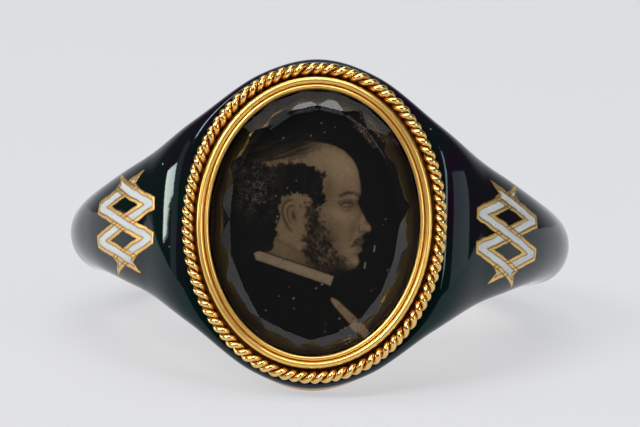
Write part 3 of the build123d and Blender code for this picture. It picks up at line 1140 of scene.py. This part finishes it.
def smoothOutline(points, steps=8):
    # a closed curve through the points
    p = np.array(points, float)
    before, after, later = np.roll(p, 1, 0), np.roll(p, -1, 0), np.roll(p, -2, 0)
    t = np.linspace(0, 1, steps, endpoint=False)[None, :, None]
    a, b, c, d = (k[:, None, :] for k in (before, p, after, later))
    curve = b + 0.5 * t * (c - a + t * (2 * a - 5 * b + 4 * c - d + t * (3 * (b - c) + d - a)))
    return curve.reshape(-1, 2).tolist()


def depthInside(place, outline):
    # how far inside a closed outline each place is, below 0 outside it
    return fromEdge(place, outline) * np.where(inside(place, outline), 1, -1)


def mask(place, points, soft, ragged=0):
    t = clamp(0.5 + (depthInside(place, smoothOutline(points)) + ragged) / soft)
    return t * t * (3 - 2 * t)


def blot(place, middle, size, turn=0):
    # a soft round patch
    a = math.radians(turn)
    dx, dy = place[:, 0] - middle[0], place[:, 1] - middle[1]
    u = (dx * math.cos(a) + dy * math.sin(a)) / size[0]
    v = (dy * math.cos(a) - dx * math.sin(a)) / size[1]
    return np.exp(-(u * u + v * v))


def stroke(place, points, width):
    # a soft line through some points
    return np.exp(-((fromLine(place, points) / width) ** 2))


def latticeNoise(u, v, seed):
    # smooth noise between 0 and 1
    table = np.random.default_rng(seed).random((256, 256))
    iu, iv = np.floor(u).astype(int), np.floor(v).astype(int)
    fu, fv = u - iu, v - iv
    fu, fv = fu * fu * (3 - 2 * fu), fv * fv * (3 - 2 * fv)
    iu, iv, nextU, nextV = iu % 256, iv % 256, (iu + 1) % 256, (iv + 1) % 256
    a = table[iu, iv] * (1 - fu) + table[nextU, iv] * fu
    b = table[iu, nextV] * (1 - fu) + table[nextU, nextV] * fu
    return a * (1 - fv) + b * fv


def cloudy(place, scale, seed):
    return latticeNoise(place[:, 0] * scale, place[:, 1] * scale, seed)


def curls(place, size, seed):
    # thin bright loops on a dark ground, from 0 to 1
    u, v = place.T * size
    bend = latticeNoise(u * 0.6, v * 0.6, seed + 2) * 2
    ridges = 1 - np.abs(2 * latticeNoise(u + bend, v - bend, seed) - 1)
    patch = latticeNoise(u * 0.35, v * 0.35, seed + 1)
    return clamp((ridges - 0.80) / 0.2) * clamp((patch - 0.30) / 0.4)


def strands(place, turn, fine, long, seed, curl=0.0):
    # light and dark hairs that run along a direction, from 0 to 1
    a = np.radians(turn)
    sway = curl * (cloudy(place, 22, seed + 1) - 0.5)
    along = place[:, 0] * np.cos(a) + place[:, 1] * np.sin(a)
    across = place[:, 1] * np.cos(a) - place[:, 0] * np.sin(a) + sway
    return latticeNoise(across * fine, along * long, seed)


def paintPortrait(points, settings):
    tilt = math.radians(settings["tilt"])
    flat = points[:, [0, 2]]
    dx, dz = ((flat - settings["chin"]) / settings["headHeight"]).T
    turned = (dx * math.cos(tilt) + dz * math.sin(tilt), dz * math.cos(tilt) - dx * math.sin(tilt))
    shake = [latticeNoise(dx * 30, dz * 30, seed) - 0.5 for seed in (41, 43)]  # a hand's unevenness
    place = np.stack(turned, -1) + 0.004 * np.stack(shake, -1)
    u, v = place.T
    tones = {name: toLinear(colour) for name, colour in paints.items()}
    dark, mid, bright, hair = (tones[name] for name in ("skinDark", "skin", "skinLight", "hair"))
    colours = np.broadcast_to(tones["ground"], (len(place), 3)).copy()

    def lay(colour, cover):
        nonlocal colours
        colours = colours + (np.asarray(colour) - colours) * clamp(cover)[:, None]

    def line(colour, cover, width, *corners):
        lay(colour, cover * stroke(place, corners, width))

    def dab(colour, cover, middle, size, turn=0):
        lay(colour, cover * blot(place, middle, size, turn))

    lay(tones["ground"] * 0.35, 0.7 * cloudy(place, 4, 5))

    # skin: one light for the planes of the head, between the dark and the light tone
    light = 0.50 + 0 * u
    for middle, size, turn, amount in headPlanes:
        light += amount * blot(place, middle, size, turn)
    head = depthInside(place, smoothOutline(headOutline))
    light -= 0.30 * np.exp(-clamp(head) / 0.014)  # the form turns away at its edge
    light += 0.10 * (cloudy(place, 60, 7) - 0.5) + 0.08 * (cloudy(place, 140, 8) - 0.5)
    shade = clamp(light)[:, None]
    skin = np.where(shade < 0.5, dark + (mid - dark) * shade * 2, mid + (bright - mid) * (shade - 0.5) * 2)
    neckShade = np.clip(0.62 - 1.6 * np.abs(u + 0.16) + 0.8 * (v + 0.05), 0.05, 0.75)
    lay(dark + (mid - dark) * neckShade[:, None], mask(place, neckOutline, 0.02))
    lay(skin, 0.5 + head / 0.012)

    # eye and brow
    line(dark * 0.35, 0.85, 0.0075, (0.362, 0.512), (0.345, 0.524), (0.31, 0.526), (0.265, 0.508))
    white = [(0.352, 0.508), (0.335, 0.517), (0.30, 0.513), (0.285, 0.503), (0.31, 0.495), (0.345, 0.495)]
    lay(tones["eyeWhite"], 0.75 * mask(place, white, 0.008))
    dab(hair, 0.9, (0.337, 0.507), (0.012, 0.014))
    dab(bright * 1.2, 0.7, (0.341, 0.513), (0.004, 0.004))
    line(dark * 0.6, 0.55, 0.006, (0.352, 0.494), (0.32, 0.486), (0.28, 0.496))
    line(dark * 0.6, 0.5, 0.007, (0.365, 0.535), (0.33, 0.548), (0.28, 0.538), (0.25, 0.52))
    line(dark * 0.7, 0.35, 0.008, (0.345, 0.468), (0.31, 0.458), (0.275, 0.47))
    hairs = 0.45 + 0.65 * strands(place, 25, 160, 30, 12)
    line(hair * 1.5, hairs, 0.014, (0.418, 0.572), (0.38, 0.598), (0.33, 0.602), (0.27, 0.578))

    # nose and mouth
    dab(dark * 0.35, 0.8, (0.462, 0.296), (0.018, 0.007), 15)
    line(dark * 0.7, 0.6, 0.007, (0.44, 0.30), (0.415, 0.295), (0.405, 0.325), (0.42, 0.352))
    line(dark * 0.9, 0.25, 0.010, (0.395, 0.335), (0.36, 0.29), (0.335, 0.23))
    line(dark * 0.35, 0.85, 0.006, (0.43, 0.192), (0.40, 0.195), (0.362, 0.186))
    dab(dark * 1.1, 0.4, (0.412, 0.170), (0.03, 0.014))

    # ear
    ear = depthInside(place, smoothOutline(earOutline))
    inEar = clamp(0.5 + ear / 0.012)
    behind = np.exp(-(((ear + 0.012) / 0.014) ** 2)) * (ear < 0) * clamp((-0.085 - u) / 0.04)
    lay(dark * 0.3, 0.75 * behind)
    lay(dark + (mid - dark) * 0.80, inEar)
    inner = [(-0.082, 0.500), (-0.110, 0.507), (-0.139, 0.482), (-0.143, 0.430), (-0.122, 0.372)]
    outer = [
        (-0.066, 0.465), (-0.074, 0.508), (-0.106, 0.525), (-0.144, 0.513), (-0.160, 0.475), (-0.156, 0.425),
        (-0.134, 0.370), (-0.106, 0.334),
    ]
    middle = [(-0.100, 0.490), (-0.120, 0.462), (-0.124, 0.425), (-0.108, 0.385), (-0.092, 0.366)]
    line(dark * 0.7, 0.70 * inEar, 0.009, *inner)
    line(mid * 1.15, 0.75 * inEar, 0.008, *outer)
    line(mid * 1.05, 0.60 * inEar, 0.008, *middle)
    dab(dark * 0.45, 0.75, (-0.096, 0.430), (0.017, 0.034), 8)
    dab(dark * 0.2, 0.8, (-0.082, 0.412), (0.009, 0.014))
    dab(mid * 1.05, 0.7, (-0.067, 0.418), (0.008, 0.014))
    dab(mid * 1.1, 0.6, (-0.086, 0.340), (0.016, 0.014))

    # hair: brushed over the thin top, curled at the side
    ragged = 0.030 * (cloudy(place, 34, 21) - 0.5) + 0.022 * (cloudy(place, 80, 22) - 0.5)
    top = mask(place, topHair, 0.05, ragged)
    thin = clamp((0.15 - u) / 0.22) ** 0.8
    comb = 0.6 * strands(place, 20, 95, 6, 23, 0.012) + 0.4 * strands(place, 12, 160, 10, 24, 0.010)
    lay(tones["thinHair"], top * thin * clamp(0.30 + 1.1 * comb))
    lay(hair, top * thin * clamp((v - 0.875 - 0.1 * u) / 0.09) * clamp(0.35 + 0.8 * comb))
    lay(tones["hairline"], 0.6 * top * clamp(1 - np.abs(v - 0.862 - 0.12 * u) / 0.028) * comb)
    lay(tones["combedHair"], 0.5 * top * thin * clamp((comb - 0.55) / 0.2))
    side = mask(place, sideHair, 0.026, ragged * 1.3)
    lay(hair, side)
    glints = curls(place, 46, 25) + 0.7 * curls(place, 80, 28)
    back = np.clip((-0.14 - u) / 0.2, 0.05, 1) * np.clip((v - 0.50) / 0.2, 0.05, 1)
    lay(tones["hairLight"], side * glints * back)
    dab(tones["hairLight"] * 0.7, 0.9 * side * glints, (0.10, 0.60), (0.05, 0.10))
    lay(tones["hairSheen"], 0.5 * side * clamp((strands(place, 75, 60, 9, 29, 0.03) - 0.55) / 0.25))
    beard = mask(place, whiskers, 0.050, ragged * 1.6)
    lay(tones["whiskers"], beard * clamp(0.62 + 0.55 * strands(place, -60, 85, 24, 31, 0.04)))
    glints = curls(place, 62, 33) + 0.8 * clamp((strands(place, -48, 110, 30, 35, 0.03) - 0.62) / 0.2)
    dab(tones["whiskerLight"], 0.85 * beard * glints, (0.16, 0.16), (0.12, 0.17), -30)
    lip = mask(place, moustache, 0.016, ragged * 0.3)
    lay(tones["moustache"], lip * clamp(0.45 + 0.6 * strands(place, -35, 170, 40, 37, 0.01)))

    # coat, collar and shirt front
    lay(tones["coat"], mask(place, shoulders, 0.025))
    line(tones["lapel"], 0.5, 0.012, (0.24, -0.14), (0.32, -0.27), (0.40, -0.40), (0.50, -0.6))
    line(tones["coatFold"], 0.6, 0.012, (-0.36, 0.06), (-0.1, -0.07), (0.10, -0.22), (0.16, -0.5))
    linen = cloudy(place, 40, 51)
    band = depthInside(place, collar)
    lay(tones["coat"], 0.9 * clamp(0.5 + (band + 0.012) / 0.02))
    lay(tones["linen"] * (0.86 + 0.2 * linen)[:, None], 0.5 + band / 0.008)
    lay(tones["linen"] * 0.6, 0.5 * np.exp(-((band - 0.010) / 0.004) ** 2) * (v < -0.33 * u))
    front = depthInside(place, smoothOutline(shirtFront))
    lay(tones["linen"] * (0.72 + 0.25 * linen)[:, None] * (1, 0.97, 0.88), 0.5 + front / 0.01)
    for stud in ((0.365, -0.370), (0.395, -0.405)):
        dab(hair, 0.95, stud, (0.008, 0.008))

    # dust, and a bruise at the crystal's upper rim, whose iridescent colours are painted reflection
    chance = np.random.default_rng(71)
    onDark = np.clip(1 - colours.mean(1) / 0.02, 0.1, 1)
    for speck in chance.uniform((-1, -1), (1, 1), (settings["specks"], 2)) * settings["dustReach"]:
        size = chance.uniform(*settings["speckSize"])
        lay(tones["dust"], 0.95 * blot(flat, speck, (size, size)) * onDark)
    for x, z in ((2.45, -1.05), (2.08, -1.75)):
        lay(tones["dust"], 0.8 * stroke(flat, [(x, z), (x + 0.02, z + 0.22)], 0.020))
    lint = curls(flat / 5, 46, 73) + curls(flat / 5, 90, 77)
    lay(tones["lint"], 0.9 * lint * blot(flat, (-2.45, 1.25), (0.62, 0.80)))
    flaw = stroke(flat, [(1.55, 4.02), (1.95, 3.72), (2.30, 3.26), (2.52, 3.34), (2.95, 3.22)], 0.09)
    flaw = clamp(flaw * (0.1 + 2.0 * curls(flat / 5, 90, 75)))
    # the crack's place is real; its green, violet and amber glints are painted reflection
    for name, seed in (("flawReflectionGreen", 83), ("flawReflectionViolet", 85), ("flawReflectionAmber", 81)):
        lay(tones[name], flaw * cloudy(flat, 5, seed))

    # the print's own grain
    grain = 0.16 * (cloudy(flat, 22, 61) - 0.5) + 0.12 * (np.random.default_rng(63).random(len(points)) - 0.5)
    return clamp(colours * settings["ageing"] * (1 + grain)[:, None])


portraitSettings = {
    "halfSizes": (4.37, 5.50),
    "low": 9.965,
    "high": 10.165,
    "across": 250,
    "up": 320,
}


def makePortrait(settings):
    columns, rows = settings["across"], settings["up"]
    u, v = np.meshgrid(np.linspace(-1, 1, columns), np.linspace(-1, 1, rows))
    x = settings["halfSizes"][0] * u * np.sqrt(1 - v**2 / 2)
    z = settings["halfSizes"][1] * v * np.sqrt(1 - u**2 / 2)
    top = np.stack([x, 0 * x - settings["high"], z], -1)
    faces = gridFaces(rows, columns)
    index = np.arange(rows * columns).reshape(rows, columns)
    rim = np.concatenate([index[0], index[1:, -1], index[-1, -2::-1], index[-2:0:-1, 0]]).tolist()
    points = top.reshape(-1, 3)
    count = len(points)
    under = points[rim] * (1, 0, 1) - (0, settings["low"], 0)
    points = np.vstack([points, under])
    around = list(range(len(rim)))
    faces += [[rim[k], rim[k - 1], count + k - 1, count + k] for k in around]
    faces.append([count + k for k in around])
    plate = addMesh("portrait", points, faces)
    colours = np.ones((len(points), 4), np.float32)
    colours[:, :3] = paintPortrait(points, pictureSettings)
    layer = plate.data.color_attributes.new("paint", "FLOAT_COLOR", "POINT")
    layer.data.foreach_set("color", colours.ravel())
    keepSharp(plate, 40)
    material, tree, shader = newMaterial("paintedPortrait", {"Roughness": 0.7, "Specular IOR Level": 0.04})
    paint = addNode(tree, "ShaderNodeVertexColor", layer_name="paint").outputs["Color"]
    feed(tree, shader, {"Base Color": paint})
    finishPiece(plate, material, "portrait", "portrait")


makePortrait(portraitSettings)
print("portrait made")
